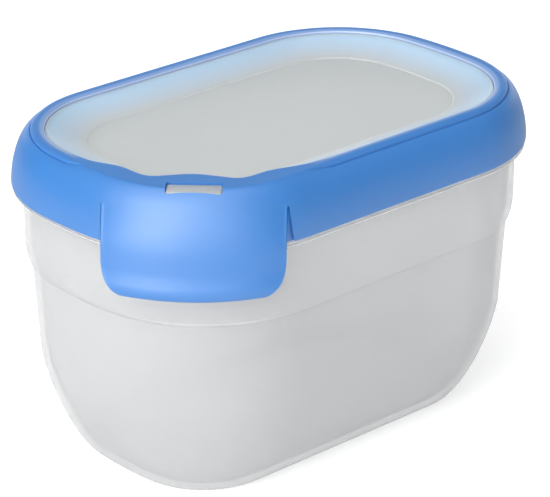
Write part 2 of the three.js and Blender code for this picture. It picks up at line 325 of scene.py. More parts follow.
def tongue(u):
    """How far the inner edge of the lid ring steps inwards at the flap."""
    u = abs(u)
    flat = TONGUE * smooth((TONGUE_HALF - u) / TONGUE_FADE)
    return flat + BULGE * hump(u, BULGE_HALF) - DIP * hump(abs(u - DIP_AT), DIP_HALF)


def stepped(p, z, share):
    """A point of a row at its height, moved inwards with the tongue round the slot."""
    u, v = at_corner(p)
    if share and v > 0:
        p = p - OUT * (share * tongue(u))
    return Vector((p.x, p.y, z))


def plain_row(plan, end, z, share=0.0):
    return [stepped(on_outline(plan, end, part, t), z, share) for part, t in PLAIN_COLUMNS]


# Meshes
def follow(verts, fresh):
    """The new vertices in the order of the old ones that they were drawn from."""
    return [
        next(e.other_vert(v) for e in v.link_edges if e.other_vert(v) in fresh) for v in verts
    ]


def loft(rows, closed=False, tint=None):
    """A tube through rows of points in millimetres, joined back on itself or with two flat ends.

    Each row may have painted light, kept as an attribute that the materials read.
    """
    bm = bmesh.new()
    layer = bm.verts.layers.float.new("tint")
    verts = bmesh.ops.create_circle(bm, segments=len(rows[0]), radius=1.0)["verts"]
    grid = [verts]
    edges = list(bm.edges)
    for row in rows[1:]:
        drawn = bmesh.ops.extrude_edge_only(bm, edges=edges)["geom"]
        edges = [g for g in drawn if isinstance(g, bmesh.types.BMEdge)]
        fresh = {g for g in drawn if isinstance(g, bmesh.types.BMVert)}
        grid.append(follow(grid[-1], fresh))
    for i, (verts, row) in enumerate(zip(grid, rows)):
        for j, (v, p) in enumerate(zip(verts, row)):
            v.co = p * MM
            if tint:
                v[layer] = tint[i][j] if isinstance(tint[i], list) else tint[i]
    if closed:
        bmesh.ops.weld_verts(bm, targetmap=dict(zip(grid[-1], grid[0])))
        grid.pop()
    else:
        bmesh.ops.holes_fill(bm, edges=[e for e in bm.edges if e.is_boundary], sides=0)
    bmesh.ops.recalc_face_normals(bm, faces=bm.faces)
    return bm, grid


def join(bm, other):
    """Adds a second mesh to the first."""
    mesh = bpy.data.meshes.new("part")
    other.to_mesh(mesh)
    other.free()
    bm.from_mesh(mesh)
    bpy.data.meshes.remove(mesh)


def smooth_shade(mesh):
    """Smooth but for the real edges."""
    mesh.shade_smooth()
    mesh.set_sharp_from_angle(angle=SHARP)


def finish_piece(bm, name):
    """The mesh as an object in the scene."""
    old = bpy.data.objects.get(name)
    if old is not None:
        bpy.data.objects.remove(old)
    mesh = bpy.data.meshes.new(name)
    bm.to_mesh(mesh)
    bm.free()
    smooth_shade(mesh)
    obj = bpy.data.objects.new(name, mesh)
    bpy.context.scene.collection.objects.link(obj)
    return obj


def cut_away(obj, cutter):
    """Takes the cutter's shape out of a piece and puts the cutter away."""
    bite = obj.modifiers.new("cut", "BOOLEAN")
    bite.operation = "DIFFERENCE"
    bite.solver = "EXACT"
    bite.object = cutter
    graph = bpy.context.evaluated_depsgraph_get()
    cut = bpy.data.meshes.new_from_object(obj.evaluated_get(graph))
    obj.modifiers.clear()
    old, obj.data = obj.data, cut
    cut.name = obj.name
    bpy.data.meshes.remove(old)
    bpy.data.objects.remove(cutter)


# Materials
def group_socket(group, name, kind, value=None, output=False):
    socket = group.interface.new_socket(
        name=name, in_out="OUTPUT" if output else "INPUT", socket_type=kind
    )
    if value is not None:
        socket.default_value = value
    return socket


def moulded_surface():
    """Node group: the slow drift of tone and the fine satin grain of a moulded plastic."""
    found = bpy.data.node_groups.get("Moulded surface")
    if found is not None:
        return found
    group = bpy.data.node_groups.new("Moulded surface", "ShaderNodeTree")
    group_socket(group, "Colour", "NodeSocketColor")
    group_socket(group, "Shade", "NodeSocketColor")
    group_socket(group, "Drift Size", "NodeSocketFloat", 30.0)
    group_socket(group, "Grain Size", "NodeSocketFloat", 2500.0)
    group_socket(group, "Roughness", "NodeSocketFloat", 0.4)
    group_socket(group, "Roughness Spread", "NodeSocketFloat", 0.1)
    group_socket(group, "Colour", "NodeSocketColor", output=True)
    group_socket(group, "Roughness", "NodeSocketFloat", output=True)
    group_socket(group, "Height", "NodeSocketFloat", output=True)
    nodes, link = group.nodes, group.links.new
    given = nodes.new("NodeGroupInput")
    result = nodes.new("NodeGroupOutput")
    place = nodes.new("ShaderNodeTexCoord")
    drift = nodes.new("ShaderNodeTexNoise")
    grain = nodes.new("ShaderNodeTexNoise")
    for node, size, detail in ((drift, "Drift Size", 3.0), (grain, "Grain Size", 2.0)):
        node.inputs["Detail"].default_value = detail
        link(place.outputs["Object"], node.inputs["Vector"])
        link(given.outputs[size], node.inputs["Scale"])
    tone = nodes.new("ShaderNodeMix")
    tone.data_type = "RGBA"
    link(drift.outputs["Fac"], tone.inputs["Factor"])
    link(given.outputs["Colour"], tone.inputs["A"])
    link(given.outputs["Shade"], tone.inputs["B"])
    spread = nodes.new("ShaderNodeMath")
    spread.operation = "MULTIPLY_ADD"
    link(drift.outputs["Fac"], spread.inputs[0])
    link(given.outputs["Roughness Spread"], spread.inputs[1])
    link(given.outputs["Roughness"], spread.inputs[2])
    link(tone.outputs["Result"], result.inputs["Colour"])
    link(spread.outputs["Value"], result.inputs["Roughness"])
    link(grain.outputs["Fac"], result.inputs["Height"])
    return group


def plastic(name, colour, shade, tint, rough, spread, drift, grain, bump, alpha=1.0, **settings):
    """A moulded plastic: the shared surface group round a plain shader, with painted light where
    marked.
    """
    material = bpy.data.materials.get(name) or bpy.data.materials.new(name)
    material.use_nodes = True
    nodes, link = material.node_tree.nodes, material.node_tree.links.new
    nodes.clear()
    surface = nodes.new("ShaderNodeGroup")
    surface.node_tree = moulded_surface()
    surface.inputs["Colour"].default_value = (*colour, 1.0)
    surface.inputs["Shade"].default_value = (*shade, 1.0)
    surface.inputs["Drift Size"].default_value = drift
    surface.inputs["Grain Size"].default_value = grain
    surface.inputs["Roughness"].default_value = rough
    surface.inputs["Roughness Spread"].default_value = spread
    shader = nodes.new("ShaderNodeBsdfPrincipled")
    for socket, value in settings.items():
        shader.inputs[socket.replace("_", " ")].default_value = value
    relief = nodes.new("ShaderNodeBump")
    relief.inputs["Strength"].default_value = bump
    relief.inputs["Distance"].default_value = RELIEF
    output = nodes.new("ShaderNodeOutputMaterial")
    # Where the mask is set, painted light: the colour turns to the painted one and the surface
    # shows less through.
    painted_light_mask = nodes.new("ShaderNodeAttribute")
    painted_light_mask.attribute_name = "tint"
    painted_light_mix = nodes.new("ShaderNodeMix")
    painted_light_mix.data_type = "RGBA"
    painted_light_mix.inputs["B"].default_value = (*tint, 1.0)
    link(painted_light_mask.outputs["Fac"], painted_light_mix.inputs["Factor"])
    link(surface.outputs["Colour"], painted_light_mix.inputs["A"])
    link(painted_light_mix.outputs["Result"], shader.inputs["Base Color"])
    if alpha < 1:
        solid = nodes.new("ShaderNodeMath")
        solid.operation = "MULTIPLY_ADD"
        solid.inputs[1].default_value = 1 - alpha
        solid.inputs[2].default_value = alpha
        link(painted_light_mask.outputs["Fac"], solid.inputs[0])
        link(solid.outputs["Value"], shader.inputs["Alpha"])
    link(surface.outputs["Roughness"], shader.inputs["Roughness"])
    link(surface.outputs["Height"], relief.inputs["Height"])
    link(relief.outputs["Normal"], shader.inputs["Normal"])
    link(shader.outputs["BSDF"], output.inputs["Surface"])
    return material


def milky_plastic(name, colour, tint, alpha):
    shade = tuple(c * MILKY_SHADE for c in colour)
    return plastic(
        name, colour, shade, tint, rough=0.3, spread=0.08, drift=35.0, grain=1800.0, bump=0.03,
        alpha=alpha, IOR=1.49, Subsurface_Weight=1.0, Subsurface_Scale=0.006,
        Subsurface_Radius=(1.0, 1.0, 1.0),
    )


def lid_blue(colour):
    shade = tuple(c * BLUE_SHADE for c in colour)
    # Paler blue for the painted highlight on the lip's edge and the painted reflection on its
    # crest.
    highlight_colour = tuple(mix(c, HIGHLIGHT_WHITE, HIGHLIGHT_WHITE_SHARE) for c in colour)
    return plastic(
        "Lid blue", colour, shade, highlight_colour, rough=0.42, spread=0.06, drift=25.0, grain=1400.0,
        bump=0.16, IOR=1.65, Specular_IOR_Level=1.0, Subsurface_Weight=0.25,
        Subsurface_Scale=0.002, Subsurface_Radius=(0.4, 0.7, 1.0),
    )


# Settings shown in the sidebar
class ContainerBoxSettings(PropertyGroup):
    wall: FloatProperty(
        name="Wall", description="Thickness of the box wall", default=WALL * MM,
        min=0.0005, max=0.004, unit="LENGTH",
    )
    colour: FloatVectorProperty(
        name="Colour", description="Colour of the milky plastic", subtype="COLOR", size=3,
        default=(0.7, 0.71, 0.72), min=0, max=1,
    )
    opacity: FloatProperty(
        name="Opacity", description="How little shows through one face of the wall",
        default=0.42, min=0, max=1, subtype="FACTOR",
    )
    fillet_rows: IntProperty(
        name="Fillet rows", description="Rows of faces in the round to the base", default=26,
        min=6, max=60,
    )


class ContainerLidSettings(PropertyGroup):
    colour: FloatVectorProperty(
        name="Ring colour", description="Colour of the soft lid ring and flap", subtype="COLOR",
        size=3, default=(0.012, 0.195, 0.59), min=0, max=1,
    )
    panel_colour: FloatVectorProperty(
        name="Panel colour", description="Colour of the milky lid panel", subtype="COLOR",
        size=3, default=(0.625, 0.66, 0.665), min=0, max=1,
    )
    # Painted blue light from the ring on the panel's edge and wall.
    panel_ring_light: FloatVectorProperty(
        name="Panel edge", description="Colour that the panel's edge picks up from the ring",
        subtype="COLOR", size=3, default=(0.4, 0.64, 1.0), min=0, max=1,
    )
    panel_opacity: FloatProperty(
        name="Panel opacity", description="How little shows through one face of the lid panel",
        default=0.75, min=0, max=1, subtype="FACTOR",
    )
    slot_length: FloatProperty(
        name="Slot length", description="Length of the slot over the flap", default=0.0164,
        min=0.005, max=0.03, unit="LENGTH",
    )
    slot_from: FloatProperty(
        name="Slot from", description="Near edge of the slot, out from the corner's centre",
        default=0.0356, min=0.03, max=0.04, unit="LENGTH",
    )
    slot_to: FloatProperty(
        name="Slot to", description="Far edge of the slot, out from the corner's centre",
        default=0.0421, min=0.037, max=0.0425, unit="LENGTH",
    )
    bend: FloatProperty(
        name="Bend", description="Length of flap below the hinge line that bends",
        default=0.007, min=0.002, max=0.02, unit="LENGTH",
    )


class ContainerStageSettings(PropertyGroup):
    floor_colour: FloatVectorProperty(
        name="Floor", description="Colour of the floor", subtype="COLOR", size=3,
        default=(0.8, 0.8, 0.8), min=0, max=1,
    )
    floor_glow: FloatProperty(
        name="Floor glow", description="White that the floor adds in view", default=0.5,
        min=0, max=1, subtype="FACTOR",
    )
    sky: FloatProperty(
        name="Sky", description="Strength of the even white light", default=0.3, min=0, max=3
    )
    key: FloatProperty(
        name="Key light", description="Power of the large soft light on the left", default=17.0,
        min=0, max=200, unit="POWER",
    )
    backdrop: FloatProperty(
        name="Backdrop light", description="Power of the broad light behind the container",
        default=6.0, min=0, max=200, unit="POWER",
    )
    front: FloatProperty(
        name="Front light", description="Power of the weak light at the front left corner",
        default=6.5, min=0, max=200, unit="POWER",
    )
    fill: FloatProperty(
        name="Overhead light", description="Power of the overhead light", default=12.0,
        min=0, max=200, unit="POWER",
    )


# Box
def fillet_share(angle):
    power = 2 / FILLET_POWER
    return 1 - math.cos(angle) ** power, 1 - math.sin(angle) ** power


def wall_plan(z, share):
    taper = TAPER * (WALL_HEIGHT - z)
    return (
        WALL_TOP[0] - taper - FILLET_LENGTHWISE * share,
        WALL_TOP[1] - taper - FILLET_CROSSWISE * share,
        mix(WALL_TOP[2], BASE_CORNER, share**BASE_CORNER_POWER),
    )


def painted_step_highlight(p):
    """Painted highlight on the step under the band, below the flap only."""
    u, v = at_corner(p)
    away = (abs(u - STEP_HIGHLIGHT_AT) - STEP_HIGHLIGHT_HALF) / STEP_HIGHLIGHT_FADE
    return STEP_HIGHLIGHT * (1 - smooth(away)) if v > 0 else 0.0


def box_rows(wall, fillet_rows):
    """Rows of the box from its base up the outside, over the rim and down the inside."""
    rows, painted_lights = [], []

    def add(plan, z, end=None, tint=0.0):
        row = plain_row(plan, end or (BAND_END if z > WALL_HEIGHT else BODY_END), z)
        rows.append(row)
        painted_lights.append([tint(p) for p in row] if callable(tint) else tint)

    quarter = math.pi / 2
    for i in range(fillet_rows + 1):
        height, inset = fillet_share(i / fillet_rows * quarter)
        z = height * FILLET_HEIGHT
        add(wall_plan(z, max(inset, 0.0)), z)
    for i in range(1, WALL_ROWS + 1):
        z = mix(FILLET_HEIGHT, WALL_HEIGHT, i / WALL_ROWS)
        add(wall_plan(z, 0), z)
    for i in range(1, STEP_ROWS + 1):
        angle = i / STEP_ROWS * quarter
        z = mix(WALL_HEIGHT, BAND_FROM, 1 - math.cos(angle))
        # The lowest rows of the step get the painted highlight.
        step_highlight = painted_step_highlight if i <= STEP_HIGHLIGHT_ROWS else 0.0
        add(blend(WALL_TOP, BAND, math.sin(angle)), z, tint=step_highlight)
    for by, z in BAND_EDGE:
        add(grow(BAND, by), z)
    for by, z, tint in FLANGE_EDGE:
        add(grow(FLANGE, by), z, RING_END, tint)
    for by, z in (
        (-RIM_INSET, FLANGE_TO), (-RIM_INSET, RIM_TOP - RIM_BEVEL),
        (-RIM_INSET - RIM_BEVEL, RIM_TOP), (-RIM_INSET - wall, RIM_TOP),
        (-RIM_INSET - wall, FLANGE_TO),
    ):
        add(grow(BAND, by), z, RING_END)
    step_from, step_to = INSIDE_STEP
    add(grow(BAND, -wall), INSIDE_BAND_TOP)
    add(grow(BAND, -wall), step_to)
    for degrees in (70, 50, 35, 20):
        angle = math.radians(degrees)
        z = mix(step_from, step_to, 1 - math.cos(angle))
        add(grow(blend(WALL_TOP, BAND, math.sin(angle)), -wall), z)
    add(grow(WALL_TOP, -wall), step_from)
    for i in range(1, INSIDE_ROWS + 1):
        z = mix(step_from, FILLET_HEIGHT, i / INSIDE_ROWS)
        add(grow(wall_plan(z, 0), -wall), z)
    for i in range(fillet_rows - 1, -1, -1):
        height, inset = fillet_share(i / fillet_rows * quarter)
        z = mix(BASE, FILLET_HEIGHT, height)
        add(grow(wall_plan(z, max(inset, 0.0) * INSIDE_ROUND), -wall), z)
    return rows, painted_lights


# Lid panel
def panel_rows():
    """Rows of the lid panel from under its floor, out to its foot and back over its lip."""
    rows, painted_lights = [], []

    def floor(by, up):
        rows.append(plain_row(grow(PANEL_FLOOR, by), FLOOR_END, PANEL_FLOOR_TOP + up))
        painted_lights.append(0.0)

    for by, up in FLOOR_UNDERSIDE:
        floor(by, up)
    # The edge and the wall carry painted blue light from the ring.
    for offset, z, share in PANEL_EDGE:
        rows.append(plain_row(ring_at(offset), RING_END, z, share))
        painted_lights.append(PANEL_EDGE_RING_LIGHT)
    lip = plain_row(ring_at(PANEL_WALL_AT), RING_END, PANEL_WALL_TOP, 1)
    by, up = FLOOR_ROUND[0]
    base = plain_row(grow(PANEL_FLOOR, by), FLOOR_END, PANEL_FLOOR_TOP + up)
    for i in range(PANEL_WALL_ROWS):
        t = i / PANEL_WALL_ROWS
        sag = Vector((0, 0, PANEL_SAG * math.sin(math.pi * t)))
        rows.append([p.lerp(q, t) - sag for p, q in zip(lip, base)])
        painted_lights.append(PANEL_WALL_RING_LIGHT * (1 - t) ** PANEL_RING_LIGHT_POWER)
    for by, up in FLOOR_ROUND:
        floor(by, up)
    return rows, painted_lights


# Lid ring
def dome(angle, inner=False, rise=0.0):
    """Distance out and height on the ring's dome. With a rise it runs up to the lip's crest."""
    power = 2 / DOME_POWER
    across, up = max(math.sin(angle), 0.0) ** power, max(math.cos(angle), 0.0) ** power
    if inner:
        height = (INNER_DOME_TOP - SKIRT_FROM) * up
        return INNER_DOME_AT + INNER_DOME_SPAN * across, SKIRT_FROM + height
    at, top = mix(LEDGE_AT, LIP_CREST_AT, rise), mix(LEDGE_TOP, LIP_CREST, rise)
    return at + (SPAN - at) * across, SKIRT_FROM + (top - SKIRT_FROM) * up


def notch_right(z):
    down = max(NOTCH_TOP - z, 0) / (NOTCH_TOP - SKIRT_FROM)
    return mix(NOTCH_RIGHT_TOP, NOTCH_RIGHT_BOTTOM, down)


def flap_columns():
    first, last = FLAP_LEFT + EDGE, FLAP_RIGHT - EDGE
    return [("flap", mix(first, last, i / FLAP_COLUMNS)) for i in range(FLAP_COLUMNS + 1)]


def ring_columns():
    columns = [(part, t) for part, t in PLAIN_COLUMNS if part < 5]
    columns += [("before", i / COLUMNS_BEFORE) for i in range(COLUMNS_BEFORE)]
    columns += [("flap", NOTCH_LEFT), ("flap", FLAP_LEFT)]
    columns += flap_columns()
    columns += [("flap", FLAP_RIGHT), ("right", 0)]
    columns += [("after", i / COLUMNS_AFTER) for i in range(1, COLUMNS_AFTER)]
    columns += [(part, t) for part, t in PLAIN_COLUMNS if part > 5]
    return columns


def ring_point(column, offset, z, share=0.0):
    """A point of the lid ring. Round the flap its columns stand square to the flap's edges."""
    kind, value = column
    plan = ring_at(offset)
    if isinstance(kind, int):
        return stepped(on_outline(plan, RING_END, kind, value), z, share)
    guide = ring_at(max(offset, EVEN_FROM))
    cx, cy, turn = corner_centre(guide, RING_END)
    middle, _ = at_corner(Vector((-cx, -cy)))
    first, last = math.pi + turn, 1.5 * math.pi

    def angle_at(u):
        return 1.25 * math.pi + math.asin((u - middle) / guide[2])

    angle = {
        "before": lambda: mix(first, angle_at(NOTCH_LEFT), value),
        "flap": lambda: angle_at(value),
        "right": lambda: angle_at(notch_right(z)),
        "after": lambda: mix(angle_at(notch_right(z)), last, value),
    }[kind]()
    t = (angle - first) / (last - first)
    return stepped(on_outline(plan, RING_END, 5, t), z, share)


def hinge_height(v):
    return HINGE_Z - (HINGE_V - v) * HINGE_SLOPE


def above_hinge(column, angle, inner):
    p = ring_point(column, *dome(angle, inner))
    return p.z - hinge_height(at_corner(p)[1])


@lru_cache(maxsize=None)
def hinge_angle(column, inner=False):
    """Where a column of the dome crosses the sloping plane at the top of the flap."""
    kind, value = column
    if kind == "before":
        edge = hinge_angle(("flap", NOTCH_LEFT), inner)
        return mix(HINGE_PLAIN, edge, smooth(value))
    if kind == "after":
        edge = hinge_angle(("right", 0), inner)
        return mix(edge, HINGE_PLAIN, smooth(value))
    if isinstance(kind, int):
        return HINGE_PLAIN
    return bisect(lambda angle: above_hinge(column, angle, inner), HINGE_LOW, HINGE_HIGH)


def dome_angle(column, share, inner=False):
    """The angle of a dome row, which meets the hinge line at HINGE_SHARE."""
    hinge = hinge_angle(column, inner)
    if share <= HINGE_SHARE:
        return mix(DOME_FROM, hinge, share / HINGE_SHARE)
    return mix(hinge, math.pi / 2, (share - HINGE_SHARE) / (1 - HINGE_SHARE))


def dome_shares(rows):
    """Shares of the dome's rows from bottom to top, with a close pair at the hinge line."""
    below = [mix(1, HINGE_SHARE, i / rows) for i in range(1, rows)]
    above = [mix(HINGE_SHARE, 0, i / rows) for i in range(1, rows + 1)]
    return below + [HINGE_SHARE + HINGE_PAIR, HINGE_SHARE, HINGE_SHARE - HINGE_PAIR] + above


def near_flap(p):
    """1 round the flap, where the ledge has faded into a smooth shoulder, and 0 elsewhere."""
    u, v = at_corner(p)
    return 1 - smooth((abs(u) - NEAR_HALF) / NEAR_FADE) if v > 0 else 0.0


def lip_height(offset):
    rest = max(1 - offset / LIP_ROUND, 0.0)
    return LIP_INNER + (LIP_CREST - LIP_INNER) * math.sqrt(max(1 - rest**LIP_POWER, 0.0))


def tongue_height(offset):
    """The lip's height by the slot, where it stays level up to its thin rounded edge."""
    rest = max(1 - offset / TONGUE_ROUND, 0.0)
    rise = TONGUE_ROUND * math.sqrt(max(1 - rest**2, 0.0))
    return LIP_CREST - TONGUE_DROP + rise - TONGUE_SLOPE * offset


def tongue_share(offset):
    return min((LIP_CREST_AT - offset) / TONGUE_SPREAD, 1)


def ring_grid():
    """Rows of the lid ring from the bottom of its skirt over the lip and back underneath."""
    columns = ring_columns()
    rows, marks, painted_lights = [], {}, []

    def add(row, tint=0.0):
        rows.append(row)
        painted_lights.append(tint)

    def add_level(offset, z, share=0.0):
        add([ring_point(c, offset, z, share) for c in columns])

    def add_dome(share, inner=False):
        if share == HINGE_SHARE:
            marks["inner" if inner else "outer"] = len(rows)
        row = []
        for c in columns:
            angle = dome_angle(c, share, inner)
            p = ring_point(c, *dome(angle, inner))
            if share < HINGE_SHARE and not inner:
                rise = near_flap(p) * smooth(1 - share / HINGE_SHARE)
                p = ring_point(c, *dome(angle, rise=rise))
            row.append(p)
        add(row)

    def add_ledge(offset, z):
        row = []
        past = SHOULDER_SPREAD * (offset - LIP_CREST_AT)
        for c in columns:
            near = near_flap(ring_point(c, offset, z))
            row.append(ring_point(
                c, mix(offset, LIP_CREST_AT + past, near),
                mix(z, LIP_CREST - SHOULDER_FALL * past, near),
            ))
        add(row)

    def add_lip(offset):
        row, tint = [], []
        # Painted highlight on the lip's edge, and a fainter painted reflection on its crest away
        # from the flap.
        crest_highlight = CREST_HIGHLIGHT * smooth((CREST_HIGHLIGHT_TO - offset) / CREST_HIGHLIGHT_FADE)
        for c in columns:
            p = ring_point(c, offset, LIP_CREST, tongue_share(offset))
            near = near_flap(p)
            row.append(Vector((p.x, p.y, mix(lip_height(offset), tongue_height(offset), near))))
            tint.append(1.0 if offset < EDGE_HIGHLIGHT_TO else crest_highlight * (1 - near))
        add(row, tint)

    for offset, up in SKIRT_EDGE:
        add_level(offset, SKIRT_FROM + up)
    for share in dome_shares(OUTER_DOME_ROWS):
        if share < SKIRT_SHARE:
            add_dome(share)
    for offset, z in LEDGE_EDGE:
        add_ledge(offset, z)
    for offset in LIP_EDGE:
        add_lip(offset)
    for offset, z in LIP_INSIDE:
        add_level(offset, z, 1)
    for offset in LIP_UNDERSIDE:
        add_level(offset, INNER_DOME_TOP, tongue_share(offset))
    for share in reversed(dome_shares(INNER_DOME_ROWS)):
        add_dome(share, True)
    add(rows[0])
    return columns, rows, marks, painted_lights


def make_ring(length, near, far):
    columns, rows, marks, painted_lights = ring_grid()
    bm, grid = loft(rows, closed=True, tint=painted_lights)
    first = columns.index(("flap", NOTCH_LEFT))
    last = columns.index(("right", 0))
    outer, inner = marks["outer"], marks["inner"]
    low = list(range(inner, len(grid))) + list(range(0, outer + 1))
    notch = {grid[i][j] for i in low for j in range(first, last + 1)}
    gone = [f for f in bm.faces if all(v in notch for v in f.verts)]
    bmesh.ops.delete(bm, geom=gone, context="FACES")
    top, under = grid[outer], grid[inner]
    for j in range(first, last):
        bmesh.ops.contextual_create(bm, geom=[top[j], top[j + 1], under[j + 1], under[j]])
    bmesh.ops.holes_fill(bm, edges=[e for e in bm.edges if e.is_boundary], sides=0)
    bmesh.ops.recalc_face_normals(bm, faces=bm.faces)
    ring = finish_piece(bm, "ring_skin")
    cutter = slot_block(length, near, far, SLOT_LOW, SLOT_HIGH)
    cut_away(ring, finish_piece(cutter, "slot_cutter"))
    bm = bmesh.new()
    bm.from_mesh(ring.data)
    for side in (-1, 1):
        web, _ = loft(web_rows(side))
        join(bm, web)
    bm.to_mesh(ring.data)
    bm.free()
    smooth_shade(ring.data)
    return ring


def web_rows(side):
    """The thin wall of the ring that runs on behind one edge of the flap."""
    rows = []
    edge = FLAP_LEFT - WEB_GAP if side < 0 else FLAP_RIGHT + WEB_GAP
    for i in range(WEB_ROWS + 1):
        z = mix(WEB_FROM, WEB_TO, i / WEB_ROWS)
        reach = reach_at(FLAP_INSIDE, z)
        end = NOTCH_LEFT - WEB_BEYOND if side < 0 else notch_right(z) + WEB_BEYOND
        face = []
        for u in (end, mix(end, edge, 0.5), edge, *(edge - side * in_by for in_by in WEB_COLUMNS)):
            v = ring_reach(u, z) - WEB_DEPTH[side]
            if (edge - u) * side > 0:
                v = min(v, math.sqrt(reach**2 - u * u) - WEB_CLEAR)
            face.append(from_corner(u, v, z))
        rows.append(face + [p - (OUT * WEB_THICKNESS).to_3d() for p in reversed(face)])
    return rows


def slot_block(length, near, far, low, high):
    """A block with rounded corners that stands in the slot over the flap."""
    bm = bmesh.new()
    bm.verts.layers.float.new("tint")
    bmesh.ops.create_cube(bm, size=1.0)
    bmesh.ops.scale(bm, vec=Vector((length, far - near, high - low)), verts=bm.verts)
    upright = [e for e in bm.edges if abs(e.verts[0].co.z - e.verts[1].co.z) > 0.001]
    bmesh.ops.bevel(
        bm, geom=upright, offset=SLOT_CORNER, segments=5, profile=0.5, affect="EDGES",
        material=-1,
    )
    centre = from_corner(SLOT_MIDDLE, (near + far) / 2 / MM, 0) * MM
    turned = Matrix((
        (ALONG.x, -OUT.x, 0, centre.x), (ALONG.y, -OUT.y, 0, centre.y),
        (0, 0, 1, (low + high) / 2), (0, 0, 0, 1),
    ))
    bmesh.ops.transform(bm, matrix=turned, verts=bm.verts)
    bmesh.ops.recalc_face_normals(bm, faces=bm.faces)
    return bm


# Closing flap
def ring_reach(u, z):
    """How far out the dome of the ring lies at a height, in the flap's own directions."""
    up = min(max((z - SKIRT_FROM) / (LEDGE_TOP - SKIRT_FROM), 0.0), 1.0)
    plan = ring_at(dome(math.acos(up ** (DOME_POWER / 2)))[0])
    cx, cy, _ = corner_centre(plan, RING_END)
    middle, out = at_corner(Vector((-cx, -cy)))
    return out + math.sqrt(max(plan[2] ** 2 - (u - middle) ** 2, 0.0))


def reach_at(profile, z):
    """How far out a profile of the flap lies at a height."""
    t = bisect(lambda t: through(profile, t)[1] - z, 0, 1)
    return through(profile, t)[0]


def flap_inset(z):
    """How far the rounded lower corners of the flap draw in at a height."""
    low = FLAP_BOTTOM - CORNER_DROP
    if z >= low + FLAP_CORNER:
        return 0.0
    return FLAP_CORNER * (1 - math.sqrt(max(z - low, 0.0) / FLAP_CORNER)) ** 2


def rounded_edge(a, b, sign):
    """The edge of the flap from its outside at a to its inside at b."""
    ua, va = at_corner(a)
    ub, vb = at_corner(b)
    depth = min(EDGE, (va - vb) * EDGE_SHARE)
    points = []
    for u, v, z, inwards, turns in (
        (ua, va, a.z, -depth, (30, 60, 90)), (ub, vb, b.z, depth, (90, 60, 30)),
    ):
        for angle in (math.radians(degrees) for degrees in turns):
            points.append(from_corner(
                u + sign * EDGE * math.sin(angle), v + inwards * (1 - math.cos(angle)), z
            ))
    return points


def flap_row(share):
    """One closed loop round the flap: along its outside, then back along its inside."""
    sides = []
    for inner, profile in ((False, FLAP_OUTSIDE), (True, FLAP_INSIDE)):
        line = []
        for column in flap_columns():
            top = ring_point(column, *dome(hinge_angle(column, inner), inner))
            if share == 0:
                line.append(top)
                continue
            start = bisect(lambda t: through(profile, t)[1] - top.z, 0, 1)
            reach, z = through(profile, mix(start, 1, share))
            inset = flap_inset(z)
            where = (column[1] - FLAP_LEFT - EDGE) / (FLAP_RIGHT - FLAP_LEFT - 2 * EDGE)
            u = mix(FLAP_LEFT + inset + EDGE, FLAP_RIGHT - inset - EDGE, where)
            u_top, v_top = at_corner(top)
            shift = v_top - math.sqrt(reach_at(profile, top.z) ** 2 - u_top**2)
            shift *= 1 - smooth((top.z - z) / SHOULDER_FADE)
            line.append(from_corner(u, math.sqrt(reach**2 - u**2) + shift, z))
        sides.append(line)
    outside, inside = sides
    right = rounded_edge(outside[-1], inside[-1], 1)
    left = rounded_edge(outside[0], inside[0], -1)
    return outside + right + inside[::-1] + left[::-1]


def make_flap():
    shares = [*HINGE_ROWS, *(i / FLAP_ROWS for i in range(2, ROLL_FROM))]
    shares += [mix(ROLL_FROM / FLAP_ROWS, 1, i / ROLL_ROWS) for i in range(ROLL_ROWS + 1)]
    bm, _ = loft([flap_row(share) for share in shares])
    return finish_piece(bm, "flap_skin")


# Operators
class CONTAINER_OT_box(Operator):
    """Build the milky box over its solid"""
    bl_idname = "container.make_box"
    bl_label = "Box"

    def execute(self, context):
        settings = context.scene.container_box
        rows, painted_lights = box_rows(settings.wall / MM, settings.fillet_rows)
        bm, _ = loft(rows, tint=painted_lights)
        box = finish_piece(bm, "box_skin")
        # White painted highlights on the flange's rounded edges and on the step below the flap.
        box.data.materials.append(
            milky_plastic("Milky box", settings.colour, (1.0, 1.0, 1.0), settings.opacity)
        )
        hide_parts("container_body")
        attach(box, "root")
        return {"FINISHED"}


class CONTAINER_OT_panel(Operator):
    """Build the dished lid panel over its solid"""
    bl_idname = "container.make_panel"
    bl_label = "Lid panel"

    def execute(self, context):
        lid = context.scene.container_lid
        rows, painted_lights = panel_rows()
        bm, _ = loft(rows, tint=painted_lights)
        pad = slot_block(
            lid.slot_length - 2 * PAD_GAP, lid.slot_from + PAD_GAP, lid.slot_to - PAD_GAP,
            PAD_LOW, PAD_TOP,
        )
        top = [e for e in pad.edges if all(v.co.z > PAD_TOP - 1e-6 for v in e.verts)]
        bmesh.ops.bevel(
            pad, geom=top, offset=PAD_BEVEL, segments=3, profile=0.5, affect="EDGES", material=-1
        )
        join(bm, pad)
        panel = finish_piece(bm, "panel_skin")
        # Painted blue light from the ring on the panel's edge and wall.
        panel.data.materials.append(
            milky_plastic("Milky panel", lid.panel_colour, lid.panel_ring_light, lid.panel_opacity)
        )
        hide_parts("lid_panel")
        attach(panel, "root")
        return {"FINISHED"}


class CONTAINER_OT_ring(Operator):
    """Build the soft blue lid ring over its solid"""
    bl_idname = "container.make_ring"
    bl_label = "Lid ring"

    def execute(self, context):
        lid = context.scene.container_lid
        ring = make_ring(lid.slot_length, lid.slot_from, lid.slot_to)
        ring.data.materials.clear()
        ring.data.materials.append(lid_blue(lid.colour))
        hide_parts("lid_ring")
        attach(ring, "root")
        return {"FINISHED"}


